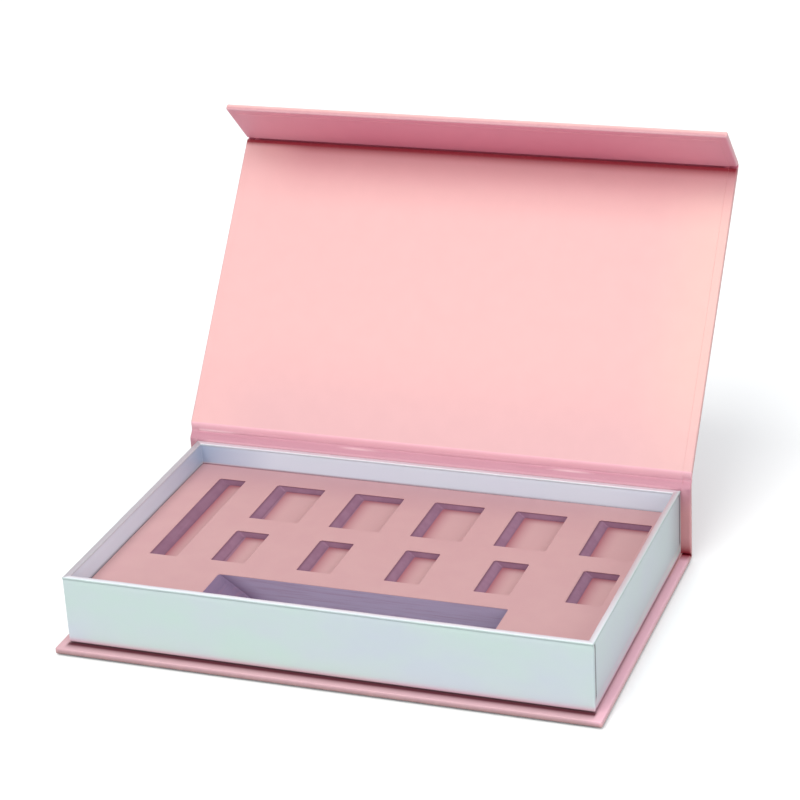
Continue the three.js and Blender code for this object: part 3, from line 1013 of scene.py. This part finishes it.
# a closed loop with rounded corners; every loop has the same count, so loops can be joined
def trayLoop(halfX, halfY, radius, look):
    loop = []
    corners = [(1, -1, -90), (1, 1, 0), (-1, 1, 90), (-1, -1, 180)]
    short = wallShares(2 * halfY, look["columnsShort"], look["seam"])
    long = wallShares(2 * halfX, look["columnsLong"], None)
    for index, (sideX, sideY, startAngle) in enumerate(corners):
        centre = Vector((sideX * (halfX - radius), sideY * (halfY - radius)))
        for step in range(look["arcSteps"] + 1):
            share = step / look["arcSteps"]
            angle = math.radians(startAngle + 90 * share)
            normal = Vector((math.cos(angle), math.sin(angle)))
            loop.append((centre + normal * radius, normal, math.sin(math.pi * share), 0.0))
        nextX, nextY = corners[(index + 1) % 4][:2]
        start, normal = loop[-1][:2]
        end = Vector((nextX * (halfX - radius), nextY * (halfY - radius))) + normal * radius
        for share, groove in long if index % 2 else short:
            loop.append((start.lerp(end, share), normal, 0.0, groove))
    return loop


# rows of the paper's section: distance in from the wall's face, height, and how far each is inside the tray, on
# the rim, in the painted shadow at the foot and on the outer face
def traySection(look, height, floorLevel, insertLevel):
    rim, bead = look["rim"], look["bead"]
    wall, thick, foot, hem = look["wall"], look["thick"], look["foot"], look["hem"]
    arc = [math.radians(a) for a in (0, 22.5, 45, 67.5, 90)]
    dipRows = [(look["dip"] * share, drop) for share, drop in look["dipRows"]]
    rows = [(hem, 0.0, 0, 0, 1, 0), (hem * 0.3, 0.0, 0, 0, 1, 0)]
    for a in arc:
        inset, rise = foot * (1 - math.sin(a)), foot * (1 - math.cos(a))
        rows.append((inset, rise, 0, 0, 1 - 0.4 * math.sin(a), 1))
    rows += [(0.0, foot + rise, 0, 0, dark, 1) for rise, dark in look["footFade"]]
    rows += [(0.0, height * share, 0, 0, 0, 1) for share in (0.2, 0.4, 0.6, 0.75, 0.85)]
    rows += [(inset, height - drop, 0, 0, 0, 1) for inset, drop in dipRows]
    for a in arc:
        inset, drop = rim * (1 - math.cos(a)) - bead, rim * (1 - math.sin(a))
        rows.append((inset, height - drop, 0, max(math.sin(a) - 0.8, 0) * 5, 0, 0))
    for a in arc:
        inset, drop = wall + bead - rim * (1 - math.sin(a)), rim * (1 - math.cos(a))
        rows.append((inset, height - drop, 0.5, math.cos(a), 0, 0))
    rows += [(wall - inset, height - drop, 1, 0, 0, 0) for inset, drop in reversed(dipRows)]
    rows += [(wall, insertLevel + rise, 1, 0, dark, 0) for rise, dark in look["gutterFade"]]
    bed = insertLevel - floorLevel
    rows += [(wall, floorLevel + bed * share, 1, 0, 0, 0) for share in (0.7, 0.3, 0)]
    rows += [(wall - thick, floorLevel, 1, 0, 0, 0), (wall - thick, height - 2 * thick, 0, 0, 0, 0)]
    rows += [(2 * thick, height - 2 * thick, 0, 0, 0, 0), (2 * thick, foot, 0, 0, 0, 0)]
    rows += [(foot, thick, 0, 0, 0, 0), (hem, thick, 0, 0, 0, 0)]
    return rows


def makeTrayPaper(look):
    centreY = (trayLow.y + trayHigh.y) / 2
    halfX = trayHigh.x
    halfY = (trayHigh.y - trayLow.y) / 2
    height = trayHigh.z - trayLow.z
    rows = traySection(look, height, floorLow.z - trayLow.z, insertTop - trayLow.z)
    loops = []
    for row in rows:
        inset = row[0]
        radius = max(look["outerCorner"] - inset, look["innerCorner"])
        loops.append(trayLoop(halfX - inset, halfY - inset, radius, look))
    points, place = [], []
    tonesAndShading, marks = [], {"inside": [], "tint": []}
    half = Vector((halfX, halfY))
    for index in range(len(loops[0])):
        for row, loop in zip(rows, loops):
            inset, z, inner = row[:3]
            face = row[5]
            spot, normal, tip, groove = loop[index]
            loose = look["wave"] * max(z / height, 0.0) ** 3
            wave = loose * wobble(spot.x * 70 + normal.x * 9, spot.y * 70 + normal.y * 9, 4.0)
            wave += 0.5 * loose * wobble(spot.x * 230, spot.y * 230, z * 160)
            if inset < look["rim"]:
                wave += look["tuck"] * tip * math.exp((z - height) / look["tuckFall"])
            wave -= look["seamDepth"] * groove * face
            moved = spot + normal * wave
            points.append((moved.x, moved.y + centreY, trayLow.z + z))
            place.append((spot.x, spot.y, z))
            # painted light and shade on the tray's paper
            tint, dye = trayLightAndShade(pearlPaper, spot, normal, half, height - z, row, groove)
            marks["inside"].append(inner)
            marks["tint"].append(tint)
            tonesAndShading.append(dye)
    faces = skinFaces(len(loops[0]), len(rows), True)
    piece = addPiece("tray_paper", "pearl_paper", points, faces, marks, place, tonesAndShading)
    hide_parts("tray_wrap")
    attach(piece, "box")


makeTrayPaper(trayPaper)
print("tray papered")


# the insert: two faced foam layers with die-cut openings
insertCut = {
    "pocketRamp": 3.4 * mm,     # how far the left wall slopes in towards the floor
    "fileRamp": 4.4 * mm,
    "slotRamp": mauveFoam["slotRamp"],
    "corner": 0.8 * mm,
    "leastCorner": 0.05 * mm,
    "roll": 0.15 * mm,          # the facing rolls into each cut
    "arcSteps": 5,
    "rollSteps": 4,
}


def cutLoop(cut, z, grow, look):
    low, high, ramp = cut
    steps = look["arcSteps"]
    radius = max(look["corner"] + grow, look["leastCorner"])
    slope = ramp * (z - low.z) / (insertTop - low.z)
    left, right = low.x - slope - grow, high.x + grow
    front, back = low.y - grow, high.y + grow
    corners = [
        (right, front, -90, -1, 1), (right, back, 0, -1, -1),
        (left, back, 90, 1, -1), (left, front, 180, 1, 1),
    ]
    loop = []
    for x, y, startAngle, inX, inY in corners:
        centre = Vector((x + inX * radius, y + inY * radius))
        for step in range(steps + 1):
            angle = math.radians(startAngle + 90 * step / steps)
            loop.append(centre + Vector((math.cos(angle), math.sin(angle))) * radius)
    return loop


def cutPlate(name, slotName, outline, cuts, low, high, roll, look, walls=None):
    levels = [(0.0, low), (0.0, high - roll)]
    if roll > 0:
        for step in range(1, look["rollSteps"] + 1):
            angle = math.pi / 2 * step / look["rollSteps"]
            levels.append((roll * (1 - math.cos(angle)), high - roll + roll * math.sin(angle)))
    points, faces, starts = [], [], []
    for index, cut in enumerate([(*outline, 0.0)] + cuts):
        outward = -1 if index == 0 else 1
        first = len(points)
        size = 4 * (look["arcSteps"] + 1)
        for grow, z in levels:
            loop = cutLoop(cut, z, outward * grow, look)
            points += [(p.x, p.y, z) for p in loop]
        for level in range(len(levels) - 1):
            for step in range(size):
                after = (step + 1) % size
                here = first + level * size
                faces.append((here + step, here + after, here + size + after, here + size + step))
        starts.append((first, size))
    for level in (0, len(levels) - 1):
        rings = [[first + level * size + step for step in range(size)] for first, size in starts]
        order = [index for ring in rings for index in ring]
        for triangle in tessellate_polygon([[Vector(points[i]) for i in ring] for ring in rings]):
            faces.append(tuple(order[i] for i in triangle))
    piece = addPiece(name, slotName, points, faces)
    if walls:
        piece.data.materials.append(finishes[walls])
        for polygon in piece.data.polygons:
            polygon.material_index = 1 if abs(polygon.normal.z) < 0.95 else 0
    return piece


def grownCut(name, ramp):
    low, high = openings[name]
    room = Vector((cutRoom, cutRoom, 0))
    return low - room, high + room, ramp


def makeInsert(look):
    shallow = [grownCut(n, look["pocketRamp"]) for n in openings if "pocket" in n]
    shallow += [grownCut("file_slot", look["fileRamp"])]
    slot = [grownCut("tool_slot", look["slotRamp"])]
    face, upper, lower = (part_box("insert_" + n) for n in ("face", "upper_foam", "lower_foam"))
    both = shallow + slot
    layers = [
        ("insert_top", "rose_facing", "insert_face", both, face[0].z, face[1].z, look["roll"]),
        ("insert_upper", "mauve_foam", "insert_upper_foam", both, upper[0].z, face[0].z, 0.0),
        ("insert_sheet", "rose_facing", "insert_pocket_floor", slot, lower[1].z, upper[0].z, 0.0),
        ("insert_lower", "mauve_foam", "insert_lower_foam", slot, lower[0].z, lower[1].z, 0.0),
    ]
    for name, slotName, node, cuts, low, high, roll in layers:
        walls = "mauve_foam" if name == "insert_sheet" else None
        piece = cutPlate(name, slotName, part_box(node), cuts, low, high, roll, look, walls)
        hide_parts(node)
        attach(piece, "box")
        slotName == "mauve_foam"


makeInsert(insertCut)
print("insert cut")


# floor and soft studio light
studio = {
    "floor": (0.93, 0.95, 0.94),
    "glow": 0.10,
    "gap": 0.6 * mm,    # the floor lies this far below the box, for the thin shadow line under its edge
    "world": (0.30, 0.31, 0.34),
    "floorReach": 6.0,
    "lampReach": 3.0,
    # where each lamp stands, how wide it is, how strong, and its tint
    "lamps": {
        "key lamp": ((-0.16, -0.50, 0.85), 2.0, 0.60, (1.0, 0.98, 0.96)),
        "side lamp": ((0.80, -0.45, 0.40), 2.2, 0.44, (0.97, 0.99, 1.0)),
        "front lamp": ((-0.20, -0.93, 0.30), 1.8, 0.17, (1.0, 1.0, 1.0)),
        "back lamp": ((-0.15, 0.70, 0.70), 2.2, 0.26, (1.0, 1.0, 1.0)),
        "top lamp": ((0.0, 0.0, 1.0), 2.4, 0.14, (1.0, 1.0, 1.0)),
    },
}


def makeFloor(look):
    f = Finish("floor")
    body = f.body()
    grain = f.clouds(body, 60, 3.0)
    material = f.surface({
        "Base Color": look["floor"],
        "Roughness": 0.75 + 0.1 * grain,
        "Specular IOR Level": 0.1,
        "Emission Color": (1.0, 1.0, 1.0),
        "Emission Strength": look["glow"],
    })
    mesh = bpy.data.meshes.new("floor")
    reach, level = look["floorReach"], -look["gap"]
    signs = [(-1, -1), (1, -1), (1, 1), (-1, 1)]
    mesh.from_pydata([(x * reach, y * reach, level) for x, y in signs], [], [(0, 1, 2, 3)])
    mesh.materials.append(material)
    floor = bpy.data.objects.new("floor", mesh)
    floor.visible_diffuse = False   # no white glare from below
    bpy.context.collection.objects.link(floor)


def makeLamp(name, way, size, strength, tint, reach):
    lamp = bpy.data.lights.new(name, "AREA")
    lamp.shape = "SQUARE"
    lamp.size = size
    lamp.energy = strength * (math.pi * reach) ** 2
    lamp.color = tint
    holder = bpy.data.objects.new(name, lamp)
    aim = Vector(way).normalized()
    holder.location = aim * reach
    holder.rotation_euler = aim.to_track_quat("Z", "Y").to_euler()
    bpy.context.collection.objects.link(holder)


def makeWorld(look):
    world = bpy.data.worlds.new("studio")
    world.use_nodes = True
    world.node_tree.nodes["Background"].inputs["Color"].default_value = (*look["world"], 1)
    world.node_tree.nodes["Background"].inputs["Strength"].default_value = 1.0
    bpy.context.scene.world = world
    bpy.context.scene.view_settings.view_transform = "Standard"


makeFloor(studio)
for lampName, lampLook in studio["lamps"].items():
    makeLamp(lampName, *lampLook, studio["lampReach"])
makeWorld(studio)
print("studio lit")
